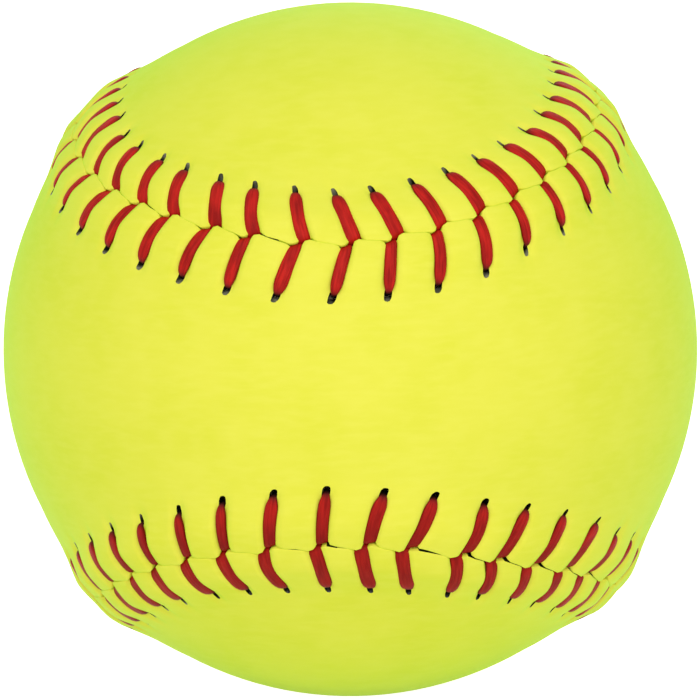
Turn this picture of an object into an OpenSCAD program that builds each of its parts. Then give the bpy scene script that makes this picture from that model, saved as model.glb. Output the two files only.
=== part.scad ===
// Leather-covered softball of 12 inch size, with a raised seam sewn by two threads.
//
// Origin at the middle of the ball, +Z up, millimetres. The front cover panel's waist faces -Y and its
// two lobes face +X and -X. The back cover panel is the same shape, and its lobes face +Z and -Z.
//
// Everything near the seam is placed in seam coordinates:
//   s, distance along the seam, counted in stitches
//   u, distance from the seam over the leather in mm, positive on the front panel
//   h, height over the smooth leather in mm

/* [Ball] */
// Radius of the leather where it lies smooth, away from the seam
cover_r = 48.0; // [46.5:0.1:49.0]
// Thickness of the leather cover panels
leather_t = 1.5; // [1.4:0.05:1.6]
// Thickness of the cement coat between core and leather
cement_t = 0.2; // [0.1:0.05:0.25]
// Room under the leather for the facets of its back face
seat_gap = 0.35; // [0.3:0.05:0.4]

/* [Seam curve] */
// How far the seam swings from side to side, which sets the waists of the panels
seam_swing = 0.428; // [0.41:0.001:0.44]
// Second harmonic, which fills out the lobes of the panels
seam_fill = -0.0405; // [-0.05:0.0005:-0.03]
// Third harmonic, which straightens the seam along the waists
seam_straight = -0.0653; // [-0.075:0.0005:-0.055]

/* [Raised seam] */
// Height of the pillows of leather beside the seam, between stitches
pillow_h = 1.95; // [1.7:0.05:2.1]
// Height of the leather under a stitch, where the thread pulls it down
valley_h = 1.05; // [0.9:0.05:1.1]
// Distance of the pillows' crest from the seam
crest_u = 2.6; // [2.3:0.1:2.9]
// Distance from the seam at which the raised leather has nearly run out
foot_u = 10.4; // [10:0.1:11]
// Distance from the seam at which the leather is smooth
smooth_u = 14.5; // [14:0.1:15]
// Half the gap between the two panels, between stitches
gap_half = 0.25; // [0.2:0.05:0.35]
// Distance from the seam to the edge of the leather under a stitch, where the thread dives past it
notch_u = 1.15; // [1.05:0.05:1.2]

/* [Stitches] */
// Stitches in each cover panel, a multiple of 8
stitches = 88; // [80:8:88]
// Distance from the seam to the middle of a stitch hole
hole_u = 7.3; // [7.1:0.1:7.5]
// Length of a stitch hole, across the seam
hole_l = 2.4; // [2.2:0.1:2.6]
// Width of a stitch hole
hole_w = 1.6; // [1.5:0.05:1.7]
// Lean of the stitches: how far the holes lie along the seam from the kink, in stitches
hole_lean = 0.37; // [0.33:0.01:0.4]
// Distance along the seam from the kink to each of the two arms that meet there, in stitches
arm_offset = 0.12; // [0.11:0.01:0.13]

/* [Thread] */
// Thickness of the waxed thread where it lies over the leather
thread_t = 0.8; // [0.7:0.05:0.8]
// Width of the thread where it turns down into the seam
thread_lip_w = 1.65; // [1.5:0.05:1.7]
// Width of the thread down in the seam, where two threads pass each other
thread_gap_w = 1.0; // [0.8:0.05:1.0]
// Width of the thread in a stitch hole
thread_hole_w = 0.6; // [0.5:0.05:0.65]
// Width of the thread as it leaves a stitch hole
thread_rise_w = 1.25; // [1.1:0.05:1.3]

/* [Hidden] */

// How far the corners of the leather's back face lie below its curve
facet_slack = 0.05;
back_h = -leather_t - facet_slack;
cement_r = cover_r + back_h - seat_gap;
core_r = cement_r - cement_t;

// How far the leather drops from the pillows' crest to its edge, and to the row of the holes
edge_drop = 0.6;
row_drop = 1.1;

// How far the leather drops from the valley under a stitch to the notch in its edge, and to the near end,
// the two sides and the far end of the stitch hole
notch_drop = 0.15;
hole_drop = [0.25, 0.3, 0.5];

// Height of the leather where the raised seam has nearly run out
foot_h = 0.3;

// Heights of the leather's back face, raised to leave the threads room under the seam
back_edge_h = -0.6;
back_hole_h = -0.65;

// How much further along the seam the far end of a stitch hole lies than its middle, in stitches
hole_tilt = 0.04;

// Heights of the thread's middle line, down in the seam, out of the hole and over the lip, and the
// distance of the lip from the seam
thread_low_h = -1.1;
thread_rise_h = 1.35;
thread_lip_h = 1.85;
thread_lip_u = 0.6;

// Thickness of the thread deep in a hole, and where it bends out of a hole or into the seam
thread_low_t = 0.6;
thread_bend_t = 0.7;

// Share of the thread's width that its underside keeps, and the least cosine of half a bend to mitre at
underside = 0.7;
mitre_limit = 0.7;

// Samples of the seam curve, half the angle that its direction is taken over, and cuts in each rung that
// spans a panel
seam_steps = 720;
aim_angle = 0.2;
rung_cuts = 7;
quarter = stitches / 4;

leather_colour = "#EDF150";
thread_colour = "#C8202B";
cement_colour = "#D9C9A0";
core_colour = "#F1EBDD";

function unit(v) = v / norm(v);

function wrap(i, n) = i - n * floor(i / n);

// Direction from the middle of the ball to the seam at angle t of its parameter
function seam_dir(t) =
    let (x = cos(t) + seam_swing * cos(3 * t) + seam_fill * cos(5 * t))
    let (y = sin(t) - seam_swing * sin(3 * t) + seam_fill * sin(5 * t))
    let (z = 2 * sqrt(seam_swing) * sin(2 * t) + seam_straight * sin(6 * t))
    unit([(x - y) / sqrt(2), -z, (x + y) / sqrt(2)]);

function step_angle(i) = 360 * i / seam_steps;

// Distance along the seam up to each sample, on a ball of radius 1
seam_run = [
    for (i = 0, run = 0; i <= seam_steps;
         run = run + norm(seam_dir(step_angle(i + 1)) - seam_dir(step_angle(i))), i = i + 1) run
];
seam_length = seam_run[seam_steps];

// The parameter angle of the seam, looked up by distance counted in stitches
seam_table = [for (i = [0:seam_steps]) [seam_run[i] * stitches / seam_length, step_angle(i)]];

// A point in seam coordinates
function place(s, u, h) =
    let (t = lookup(wrap(s, stitches), seam_table))
    let (p = seam_dir(t))
    let (across = unit(cross(p, seam_dir(t + aim_angle) - seam_dir(t - aim_angle))))
    let (a = u / cover_r * 180 / PI)
    (cover_r + h) * (cos(a) * p + sin(a) * across);

// Offset along the seam, at distance u, of the valley under a stitch. The kink of a stitch is at offset 0.
// lean is 1 where the holes lie further along the seam than the kink, and -1 on the turned back panel.
function valley_offset(u, lean) = arm_offset + (lean * hole_lean - arm_offset) * u / hole_u;

function valley(i, u, h, lean) = place(i + 0.5 + valley_offset(u, lean), u, h);

function pillow(i, u, h, lean) = place(i + 1 + valley_offset(u, lean), u, h);

// The four corners of a stitch hole: near the seam, further along, far from the seam, less far along.
// h holds the heights of the near end, of the sides and of the far end.
function hole_corners(i, h, lean) =
    let (half_w = hole_w / 2 * stitches / (seam_length * cover_r))
    let (at = i + 0.5 + lean * hole_lean)
    [
        valley(i, hole_u - hole_l / 2, h[0], lean),
        place(at + half_w, hole_u, h[1]),
        place(at + lean * hole_tilt, hole_u + hole_l / 2, h[2]),
        place(at - half_w, hole_u, h[1])
    ];

// A point of the great-circle arc from a to b, at share k of the way and at radius r
function arc_point(a, b, k, r) =
    let (angle = acos(min(1, unit(a) * unit(b))))
    r * (sin((1 - k) * angle) * unit(a) + sin(k * angle) * unit(b)) / sin(angle);

// Rungs span the panel from one side of the seam to the other, from the tip of one lobe to the tip of the
// other. Both ends of a rung lie on the ring of points at smooth_u.
function ring_point(n, h) = place(n, smooth_u, h);

function rung_points(h, r) = [
    for (k = [1:2 * quarter - 1], m = [1:rung_cuts - 1])
        arc_point(ring_point(k - quarter / 2, h), ring_point(-k - quarter / 2, h), m / rung_cuts, r)
];

// Index of point m on rung k, where ring and inner are the first indices of the ring and of the rungs
function rung_index(k, m, ring, inner, shift) =
    m == 0 ? ring + wrap(k - quarter / 2 - shift, stitches)
    : m == rung_cuts ? ring + wrap(-k - quarter / 2 - shift, stitches)
    : inner + (k - 1) * (rung_cuts - 1) + m - 1;

// Triangles over the rungs, counter-clockwise as seen from outside the ball
function rung_faces(ring, inner, shift) =
    let (last = 2 * quarter)
    let (tip_a = rung_index(0, 0, ring, inner, shift))
    let (tip_b = rung_index(last, 0, ring, inner, shift))
    [
        for (m = [0:rung_cuts - 1])
            each [
                [tip_a, rung_index(1, m, ring, inner, shift), rung_index(1, m + 1, ring, inner, shift)],
                [rung_index(last - 1, m + 1, ring, inner, shift),
                 rung_index(last - 1, m, ring, inner, shift), tip_b]
            ],
        for (k = [1:last - 2], m = [0:rung_cuts - 1])
            let (a = rung_index(k, m, ring, inner, shift))
            let (b = rung_index(k + 1, m, ring, inner, shift))
            let (c = rung_index(k + 1, m + 1, ring, inner, shift))
            let (d = rung_index(k, m + 1, ring, inner, shift))
            each [[a, b, c], [a, c, d]]
    ];

function reversed(faces) = [for (f = faces) [f[0], f[2], f[1]]];

// One figure-eight cover panel, laid as the front panel
module cover_panel(lean) {
    n = stitches;
    shift = (1 + lean) / 2;

    front_h = [for (drop = hole_drop) valley_h - drop];
    rear_h = [for (drop = hole_drop) back_hole_h];

    edge = [for (i = [0:n - 1]) each [valley(i, notch_u, valley_h - notch_drop, lean),
                                      pillow(i, gap_half, pillow_h - edge_drop, lean)]];
    crest = [for (i = [0:n - 1]) each [valley(i, crest_u, valley_h, lean),
                                       pillow(i, crest_u, pillow_h, lean)]];
    holes = [for (i = [0:n - 1]) each hole_corners(i, front_h, lean)];
    pillows = [for (i = [0:n - 1]) pillow(i, hole_u, pillow_h - row_drop, lean)];
    foot = [for (i = [0:2 * n - 1]) place(i / 2 + shift, foot_u, foot_h)];
    ring = [for (i = [0:n - 1]) ring_point(i + shift, 0)];
    rungs = rung_points(0, cover_r);

    back_edge = [for (i = [0:n - 1]) valley(i, notch_u, back_edge_h, lean)];
    back_holes = [for (i = [0:n - 1]) each hole_corners(i, rear_h, lean)];
    back_ring = [for (i = [0:n - 1]) ring_point(i + shift, back_h)];
    back_rungs = rung_points(back_h, cover_r + back_h);

    points = concat(edge, crest, holes, pillows, foot, ring, rungs,
                    back_edge, back_holes, back_ring, back_rungs);

    crest_0 = 2 * n;
    holes_0 = crest_0 + 2 * n;
    pillows_0 = holes_0 + 4 * n;
    foot_0 = pillows_0 + n;
    ring_0 = foot_0 + 2 * n;
    rungs_0 = ring_0 + n;
    back_edge_0 = rungs_0 + len(rungs);
    back_holes_0 = back_edge_0 + n;
    back_ring_0 = back_holes_0 + 4 * n;
    back_rungs_0 = back_ring_0 + n;

    edge_to_crest = [
        for (i = [0:2 * n - 1])
            let (j = wrap(i + 1, 2 * n))
            each [[i, j, crest_0 + j], [i, crest_0 + j, crest_0 + i]]
    ];

    // Around each hole, from the crest line to the foot of the raised seam
    round_holes = [
        for (i = [0:n - 1])
            let (v = crest_0 + 2 * i, f = foot_0 + 2 * i, d = holes_0 + 4 * i)
            let (cr = v + 1, pr = pillows_0 + i, fr = f + 1)
            let (cl = crest_0 + wrap(2 * i - 1, 2 * n))
            let (pl = pillows_0 + wrap(i - 1, n))
            let (fl = foot_0 + wrap(2 * i - 1, 2 * n))
            each [
                [v, cr, pr], [v, pr, d + 1], [v, d + 1, d],
                [pr, fr, f], [pr, f, d + 2], [pr, d + 2, d + 1],
                [v, pl, cl], [v, d + 3, pl], [v, d, d + 3],
                [pl, f, fl], [pl, d + 2, f], [pl, d + 3, d + 2]
            ]
    ];

    foot_to_ring = [
        for (i = [0:n - 1])
            let (f = foot_0 + 2 * i, g = foot_0 + wrap(2 * i + 2, 2 * n))
            let (r = ring_0 + i, q = ring_0 + wrap(i + 1, n))
            each [[f, f + 1, r], [f + 1, q, r], [f + 1, g, q]]
    ];

    back_strip = [
        for (i = [0:n - 1])
            let (j = wrap(i + 1, n))
            let (e = back_edge_0 + i, a = back_holes_0 + 4 * i, r = back_ring_0 + i)
            let (g = back_edge_0 + j, b = back_holes_0 + 4 * j, q = back_ring_0 + j)
            each [
                [e, g, b], [e, b, a], [a, b, b + 3], [a, b + 3, a + 1],
                [a + 1, b + 3, b + 2], [a + 1, b + 2, a + 2], [a + 2, b + 2, q], [a + 2, q, r]
            ]
    ];

    hole_walls = [
        for (i = [0:n - 1], k = [0:3])
            let (a = holes_0 + 4 * i + k, b = holes_0 + 4 * i + (k + 1) % 4)
            let (c = back_holes_0 + 4 * i + k, d = back_holes_0 + 4 * i + (k + 1) % 4)
            each [[a, b, d], [a, d, c]]
    ];

    edge_wall = [
        for (i = [0:n - 1])
            let (j = wrap(i + 1, n))
            let (v = 2 * i, p = 2 * i + 1, w = 2 * j)
            let (e = back_edge_0 + i, g = back_edge_0 + j)
            each [[p, v, e], [e, g, p], [w, p, g]]
    ];

    outer = concat(edge_to_crest, round_holes, foot_to_ring, rung_faces(ring_0, rungs_0, shift));
    inner = concat(back_strip, rung_faces(back_ring_0, back_rungs_0, shift));
    walls = concat(hole_walls, edge_wall);

    // polyhedron() wants its faces clockwise as seen from outside
    polyhedron(points, concat(reversed(outer), inner, reversed(walls)), convexity = 6);
}

// Middle line of one stitch of a thread, over the panel on the given side: up through the hole, over the
// leather, and down past its edge into the seam. side is 1 for the front panel and -1 for the back panel.
function arm_path(k, side) =
    let (hole_s = k + 0.5 + hole_lean)
    let (gap_s = k + 0.5 + side * arm_offset)
    let (lip_s = gap_s + (hole_s - gap_s) * thread_lip_u / hole_u)
    [
        place(hole_s, side * hole_u, thread_low_h),
        place(hole_s, side * hole_u, thread_rise_h),
        place(lip_s, side * thread_lip_u, thread_lip_h),
        place(gap_s, 0, thread_low_h)
    ];

// Half width and half thickness of the thread at the four points of an arm
arm_sections = [
    [thread_hole_w, thread_low_t] / 2,
    [thread_rise_w, thread_bend_t] / 2,
    [thread_lip_w, thread_t] / 2,
    [thread_gap_w, thread_bend_t] / 2
];

// Four corners of the thread's section around point c, flat side towards the leather on the arms.
// before and after are the neighbouring points, and flip turns the numbering by half a turn.
function section_ring(c, before, after, across, half, flip) =
    let (way_in = unit(c - before), way_out = unit(after - c))
    let (along = unit(way_in + way_out))
    let (down = unit(cross(across, along)))
    let (mitre = 1 / max(mitre_limit, along * way_out))
    let (corners = [[1, 1], [-1, 1], [-underside, -1], [underside, -1]])
    [
        for (m = [0:3])
            let (q = corners[(m + 2 * flip) % 4])
            c + q[0] * half[0] * across + q[1] * half[1] * mitre * down
    ];

// One of the two sewing threads. It takes every stitch in turn against the seam's direction, over one panel
// and then over the other, and passes under the leather from each kink to the next hole.
module thread(first_side) {
    arms = [for (j = [0:stitches - 1]) arm_path(-j, j % 2 == 0 ? first_side : -first_side)];
    path = [for (arm = arms) each arm];
    count = len(path);
    tail = (path[count - 1] + path[0]) / 2;
    head = path[0] - unit(path[0]);

    rings = [
        for (i = [0:count - 1])
            let (arm = arms[floor(i / 4)])
            let (across = unit(cross(arm[1], arm[2] - arm[1])))
            each section_ring(path[i], i == 0 ? head : path[i - 1], i == count - 1 ? tail : path[i + 1],
                              across, arm_sections[i % 4], floor(i / 4) % 2)
    ];

    sides = [
        for (i = [0:count - 2], m = [0:3])
            let (a = 4 * i + m, b = 4 * i + (m + 1) % 4)
            each [[a, b + 4, a + 4], [a, b, b + 4]]
    ];
    last = 4 * (count - 1);
    ends = [[0, 2, 1], [0, 3, 2], [last, last + 1, last + 2], [last, last + 2, last + 3]];

    polyhedron(rings, concat(sides, ends), convexity = 10);
}

module core() {
    color(core_colour) sphere(r = core_r, $fn = 96);
}

module cement_coat() {
    color(cement_colour) difference() {
        sphere(r = cement_r, $fn = 96);
        sphere(r = core_r, $fn = 96);
    }
}

module cover_front() {
    color(leather_colour) cover_panel(lean = 1);
}

// The back panel is the front one turned half round about the axis that swaps the two sides of the seam
module cover_back() {
    color(leather_colour) rotate(a = 180, v = [1, 0, 1]) cover_panel(lean = -1);
}

module thread_first() {
    color(thread_colour) thread(first_side = 1);
}

module thread_second() {
    color(thread_colour) thread(first_side = -1);
}

core();
cement_coat();
cover_front();
cover_back();
thread_first();
thread_second();
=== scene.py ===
"""Softball of 12 inch size: two figure-eight leather covers sewn over a moulded core with two waxed threads.

Everything near the seam is placed in seam coordinates. They are the part's own, so each piece lies where the
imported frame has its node.
    s: distance along the seam, counted in stitches
    u: distance from the ideal seam over the leather in mm, positive on the front panel
    x: distance from the sewn seam line over one panel in mm, positive on that panel
    h: height over the smooth leather in mm
"""
import enum
import logging
import math
from dataclasses import dataclass, field
from typing import Any, ClassVar, Optional, Union

import bmesh
import bpy
import numpy as np
from mathutils import Matrix, Vector


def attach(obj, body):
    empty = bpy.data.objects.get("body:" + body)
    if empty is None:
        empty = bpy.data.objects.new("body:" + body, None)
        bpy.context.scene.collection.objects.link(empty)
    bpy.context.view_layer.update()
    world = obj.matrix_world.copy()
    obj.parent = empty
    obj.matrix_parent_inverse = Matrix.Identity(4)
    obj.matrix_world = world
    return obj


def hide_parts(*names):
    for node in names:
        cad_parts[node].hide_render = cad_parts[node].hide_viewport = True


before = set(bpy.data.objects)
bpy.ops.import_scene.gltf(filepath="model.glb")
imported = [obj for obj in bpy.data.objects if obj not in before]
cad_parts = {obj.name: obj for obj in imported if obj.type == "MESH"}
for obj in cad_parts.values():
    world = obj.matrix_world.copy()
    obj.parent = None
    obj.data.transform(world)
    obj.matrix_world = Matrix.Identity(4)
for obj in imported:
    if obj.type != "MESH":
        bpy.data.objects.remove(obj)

log = logging.getLogger("softball")
MM = 0.001
BODY = "root"
Tree, Node, Socket, Object = bpy.types.NodeTree, bpy.types.Node, bpy.types.NodeSocket, bpy.types.Object
# Sockets of the mix node when it mixes colours
MIX_LOW, MIX_HIGH, MIX_OUT = 6, 7, 2
# A quantity that changes along the seam: the places of its knots, and its values there
Knots = tuple[tuple[float, ...], tuple[float, ...]]


def hex_to_linear(code: str) -> tuple[float, float, float, float]:
    """Turns an sRGB colour as "#RRGGBB" to the linear red, green, blue and alpha that the shaders take."""
    parts = [int(code[i:i + 2], 16) / 255 for i in (1, 3, 5)]
    linear = [c / 12.92 if c <= 0.04045 else ((c + 0.055) / 1.055) ** 2.4 for c in parts]
    return (*linear, 1.0)


def feed(tree: Tree, node: Node, inputs: dict[Any, Any]) -> None:
    """Gives inputs of a node their values and links.

    Args:
        tree: The material's or world's node tree.
        node: The node.
        inputs: Input name or index, to a value or to the output socket that feeds it.
    """
    for name, value in inputs.items():
        if isinstance(value, Socket):
            tree.links.new(value, node.inputs[name])
        else:
            node.inputs[name].default_value = value


def add_node(tree: Tree, kind: str, inputs: Optional[dict[Any, Any]] = None, **settings: Any) -> Node:
    """Adds one shader node with its settings, values and links.

    Args:
        tree: The material's or world's node tree.
        kind: The node type without its "ShaderNode" prefix.
        inputs: Input name or index, to a value or to the output socket that feeds it.
        **settings: Attributes of the node itself.

    Returns:
        The new node.
    """
    node = tree.nodes.new("ShaderNode" + kind)
    for name, value in settings.items():
        setattr(node, name, value)
    feed(tree, node, inputs or {})
    return node


def maths(tree: Tree, operation: str, *values: Union[float, Socket], clamp: bool = False) -> Socket:
    """Adds one math node, with its inputs in order, and gives its output."""
    return add_node(tree, "Math", dict(enumerate(values)), operation=operation, use_clamp=clamp).outputs[0]


def ramp(tree: Tree, value: Socket, source: tuple[float, float] = (0.0, 1.0),
         target: tuple[float, float] = (0.0, 1.0)) -> Socket:
    """Adds a linear ramp from the source's range to the target's, held at its ends, and gives its output."""
    return add_node(tree, "MapRange", {"Value": value, "From Min": source[0], "From Max": source[1],
                                       "To Min": target[0], "To Max": target[1]}).outputs[0]


def noise(tree: Tree, place: Socket, size_mm: float, detail: float = 2.0) -> Socket:
    """Adds a noise with patches of the given size, for places in metres, and gives its output."""
    scale = 1 / (size_mm * MM)
    return add_node(tree, "TexNoise", {"Vector": place, "Scale": scale, "Detail": detail}).outputs["Fac"]


def bump(tree: Tree, relief: Socket, strength: float, depth_mm: float) -> Socket:
    """Adds a bump from a relief, and gives the normal."""
    return add_node(tree, "Bump", {"Height": relief, "Strength": strength,
                                   "Distance": depth_mm * MM}).outputs[0]


def mix_colours(tree: Tree, share: Socket, low: Union[str, Socket], high: str) -> Socket:
    """Adds a mix of two colours.

    Args:
        tree: The material's node tree.
        share: The output socket with the share of the second colour.
        low: The first colour, as a hex code or as the output socket that gives it.
        high: The second colour, as a hex code.

    Returns:
        The output socket.
    """
    start = hex_to_linear(low) if isinstance(low, str) else low
    mix = add_node(tree, "Mix", {"Factor": share, MIX_LOW: start, MIX_HIGH: hex_to_linear(high)},
                   data_type="RGBA")
    return mix.outputs[MIX_OUT]


def seen_directly(tree: Tree) -> Socket:
    """Adds nodes whose output is 1 to the camera and to glossy and see-through surfaces, and 0 to the light."""
    path = add_node(tree, "LightPath")
    seen = maths(tree, "MAXIMUM", path.outputs["Is Camera Ray"], path.outputs["Is Glossy Ray"])
    return maths(tree, "MAXIMUM", seen, path.outputs["Is Transmission Ray"])


def smooth_step(x: np.ndarray, low: float, high: float) -> np.ndarray:
    """Rises smoothly from 0 at low to 1 at high."""
    t = np.clip((x - low) / (high - low), 0.0, 1.0)
    return t * t * (3 - 2 * t)


class Side(enum.Enum):
    """The panel that a stitch or a piece of leather belongs to, as the sign of its distance from the seam."""

    FRONT = 1
    BACK = -1


@dataclass
class SeamChart:
    """The seam curve, and the way from seam coordinates to points in the frame.

    The fields are the part's own values. The tables are filled in when the chart is made.
    """

    cover_r: float = 48.0
    swing: float = 0.428
    fill: float = -0.0405
    straight: float = -0.0653
    stitches: int = 88
    samples: int = 7200
    tangent_step: float = 0.0035
    turn: np.ndarray = field(init=False, repr=False)
    run: np.ndarray = field(init=False, repr=False)

    def __post_init__(self) -> None:
        """Measures the curve, so that distances along it can be looked up."""
        self.turn = np.linspace(0.0, 2 * math.pi, self.samples + 1)
        steps = np.linalg.norm(np.diff(self.direction(self.turn), axis=0), axis=1)
        self.run = np.concatenate([[0.0], np.cumsum(steps)])

    @property
    def pitch(self) -> float:
        """Distance from one stitch to the next along the seam, in mm."""
        return self.run[-1] * self.cover_r / self.stitches

    def direction(self, t: np.ndarray) -> np.ndarray:
        """Unit vectors from the middle of the ball to the seam, at parameter angles t in radians."""
        x = np.cos(t) + self.swing * np.cos(3 * t) + self.fill * np.cos(5 * t)
        y = np.sin(t) - self.swing * np.sin(3 * t) + self.fill * np.sin(5 * t)
        z = 2 * math.sqrt(self.swing) * np.sin(2 * t) + self.straight * np.sin(6 * t)
        p = np.stack([(x - y) / math.sqrt(2), -z, (x + y) / math.sqrt(2)], axis=-1)
        return p / np.linalg.norm(p, axis=-1, keepdims=True)

    def axes(self, s: np.ndarray) -> tuple[np.ndarray, np.ndarray, np.ndarray]:
        """Finds the local axes of the seam.

        Args:
            s: Distances along the seam, in stitches.

        Returns:
            Unit vectors outwards, along the seam, and across it towards the front panel.
        """
        t = np.interp(np.mod(s, self.stitches) * self.run[-1] / self.stitches, self.run, self.turn)
        out = self.direction(t)
        along = self.direction(t + self.tangent_step) - self.direction(t - self.tangent_step)
        across = np.cross(out, along)
        across /= np.linalg.norm(across, axis=-1, keepdims=True)
        return out, np.cross(across, out), across

    def place(self, s: np.ndarray, u: np.ndarray, h: np.ndarray) -> np.ndarray:
        """Turns seam coordinates to points.

        Args:
            s: Distances along the seam, in stitches.
            u: Distances from the seam in mm, positive on the front panel.
            h: Heights over the smooth leather in mm.

        Returns:
            Points in metres, on the last axis.
        """
        out, _, across = self.axes(s)
        a = (u / self.cover_r)[..., None]
        return (self.cover_r + h)[..., None] * (np.cos(a) * out + np.sin(a) * across) * MM


@dataclass
class RaisedSeam:
    """Shape of the raised leather, and where each stitch lies on it.

    Lengths are in mm, and offsets along the seam in stitches. The tables from LEAN on are the sewer's hand,
    as knots along the seam.
    """

    chart: SeamChart
    seed: int = 12  # Seed of the chance differences between the stitches
    arm_offset: float = 0.09  # From a kink to each of the two arms that meet there
    arm_end: float = 1.25  # Where a stitch's line ends beyond its hole, as a share of hole_x
    hole_x: float = 7.05  # From the seam line to the middle of a hole
    hole_half_l: float = 0.95
    hole_half_w: float = 0.45
    bed: float = 0.55  # Depth of a stitch's bed, as a share of the leather's height
    hollow: float = 0.2  # The share of the bed that is a wide and soft hollow
    hollow_w: float = 1.9  # Half the width of that hollow
    step: float = 0.44  # How far the seam line is pulled across at a kink
    step_reach: float = 0.235  # Half the run of that step
    step_tail: float = 0.1  # The run beyond it, in which the line goes back most of the way
    step_rest: float = 0.3  # The share of the step that is left then
    notch: float = 0.54  # Depth of the notch in the leather's edge under a stitch
    notch_w: float = 0.94  # Width of the notch, as a share of the stitch's
    parting_at: float = 0.33  # From a kink to where the edges may part beside it
    parting_w: float = 0.07  # Half the run of such a parting
    pinch: float = 0.35  # How much the gap comes and goes, as a share of it
    wander_u: float = 9.0  # Where the wander of the seam begins to run out
    fade_u: float = 13.0  # Where the last of the raised leather begins to run out
    smooth_u: float = 14.5  # Where the leather is smooth
    crown: np.ndarray = field(init=False, repr=False)
    lean: dict[Side, np.ndarray] = field(init=False, repr=False)
    bow: dict[Side, np.ndarray] = field(init=False, repr=False)
    shift: dict[Side, np.ndarray] = field(init=False, repr=False)
    girth: dict[Side, np.ndarray] = field(init=False, repr=False)
    parting: np.ndarray = field(init=False, repr=False)

    # Height of the leather between the stitches, by distance from the seam
    CROWN_U: ClassVar = (0, 1.0, 2.3, 3.5, 5.0, 6.7, 8.4, 9.2, 10, 11.7, 13.4, 14.5)
    CROWN_H: ClassVar = (1.78, 1.9, 1.95, 1.85, 1.36, 0.86, 0.47, 0.35, 0.27, 0.16, 0.07, 0)
    # How deep a stitch lies in it, as a share of bed
    PRESS_U: ClassVar = (0, 5.0, 6.0, 7.3, 8.3, 9.4)
    PRESS_K: ClassVar = (1, 1, 0.95, 0.8, 0.3, 0)
    # How far the rounded lip falls below it at the edge
    LIP_X: ClassVar = (0, 0.05, 0.15, 0.33, 0.63)
    LIP_H: ClassVar = (0.1, 0.05, 0.02, 0.005, 0)
    # Half the width of a stitch: the front panel's are pulled tighter
    HALF_W: ClassVar[dict[Side, float]] = {Side.FRONT: 0.885, Side.BACK: 1.0}
    # Chance differences from stitch to stitch, as standard deviations
    CHANCE: ClassVar = {"lean": 0.01, "bow": 0.06, "shift": 0.07, "girth": 0.05}
    # Partings of the edges beside a stitch: mean, standard deviation and widest. Those below 0 are closed.
    PARTING: ClassVar = (-0.08, 0.2, 0.36)
    # How far a stitch leans along the seam from its kink to its hole
    LEAN: ClassVar[dict[Side, Knots]] = {
        Side.FRONT: (
            (3, 6, 8, 9, 10, 11, 12, 13, 14, 15, 17, 30, 49, 50, 53, 54, 56, 57, 58, 59, 61, 76),
            (.1, .31, .36, .33, .44, .43, .31, .37, .3, .34, .53, .38, .21, .31, .37, .23, .37, .18, .27, .24,
             .42, .36)),
        Side.BACK: (
            (3, 4, 7, 10, 12, 14, 15, 16, 17, 18, 30, 48, 49, 50, 51, 54, 56, 57, 59, 60, 61, 76),
            (.03, .17, .12, .27, .3, .43, .35, .48, .36, .36, .38, -.1, -.21, -.2, -.02, .08, .37, .25, .32,
             .25, .44, .36)),
    }
    # How far a stitch curves along the seam, in mm
    BOW: ClassVar[dict[Side, Knots]] = {
        Side.FRONT: (
            (3, 4, 7, 9, 12, 13, 15, 17, 30, 49, 50, 51, 55, 57, 58, 59, 60, 61, 76),
            (.67, .4, .5, -.01, .04, -.35, -.62, -.6, 0, .74, .58, .14, .2, -.31, -.06, -.31, .17, -.64, .2)),
        Side.BACK: (
            (3, 4, 5, 10, 12, 13, 14, 17, 18, 30, 48, 49, 50, 51, 52, 53, 54, 55, 56, 57, 58, 59, 60, 61, 76),
            (.9, 1, .57, .23, -.32, -.07, -.47, -.94, -1, 0, 1, .46, .21, .58, .29, .82, -.07, .25, .31, -.35,
             -.5, -.3, -.6, -.51, .2)),
    }
    # How far a hole lies out of the row
    REACH: ClassVar[dict[Side, Knots]] = {
        Side.FRONT: (
            (3, 5, 6, 7, 8, 10, 11, 14, 16, 17, 30, 49, 51, 53, 57, 59, 60, 61, 76),
            (-.75, -.32, -.6, -.12, .03, -.3, -.02, -.02, -.4, -.75, 0, -.56, -.7, .33, .33, .64, .29, -.6, 0)),
        Side.BACK: (
            (3, 4, 5, 10, 13, 14, 17, 18, 30, 48, 49, 50, 51, 54, 55, 58, 59, 61, 76),
            (-.21, -.5, -.11, .23, -.18, -.08, -.6, .2, 0, -.75, -.75, -.75, -.43, .48, .54, -.56, -.7, -.3,
             0)),
    }
    # How wide the thread was drawn, as a share of its usual width
    GIRTH: ClassVar[dict[Side, Knots]] = {
        Side.FRONT: (
            (2, 4, 5, 6, 7, 13, 14, 16, 17, 30, 49, 50, 51, 53, 54, 55, 59, 60, 61, 62),
            (.8, .82, .94, .88, .97, 1.0, 1.1, 1.07, .75, 1, 1.06, .82, .92, .98, .92, 1.06, 1, 1.18, 1.12,
             .9)),
        Side.BACK: (
            (2, 4, 5, 6, 7, 10, 13, 15, 16, 17, 18, 30, 48, 52, 53, 56, 57, 60, 61),
            (1.1, 1.07, 1.02, 1.1, 1.02, .98, 1.04, 1.1, 1.2, .92, 1, 1, 1.2, 1.16, 1.03, .98, .9, .95, .93)),
    }
    # How far the kinks have drifted along the seam
    DRIFT: ClassVar[Knots] = (
        (3.5, 4.5, 9.5, 10.5, 11.5, 12.5, 13.5, 14.5, 16.5, 18.5, 30, 48.5, 49.5, 50.5, 52.5, 53.5, 54.5, 55.5,
         56.5, 57.5, 58.5, 60.5, 61.5, 70),
        (.05, -.06, -.11, -.17, -.1, .03, -.03, .07, .01, .04, .1, .15, .16, .07, .05, .1, .23, .24, .15, .41,
         .3, .37, .26, .1))
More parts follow.
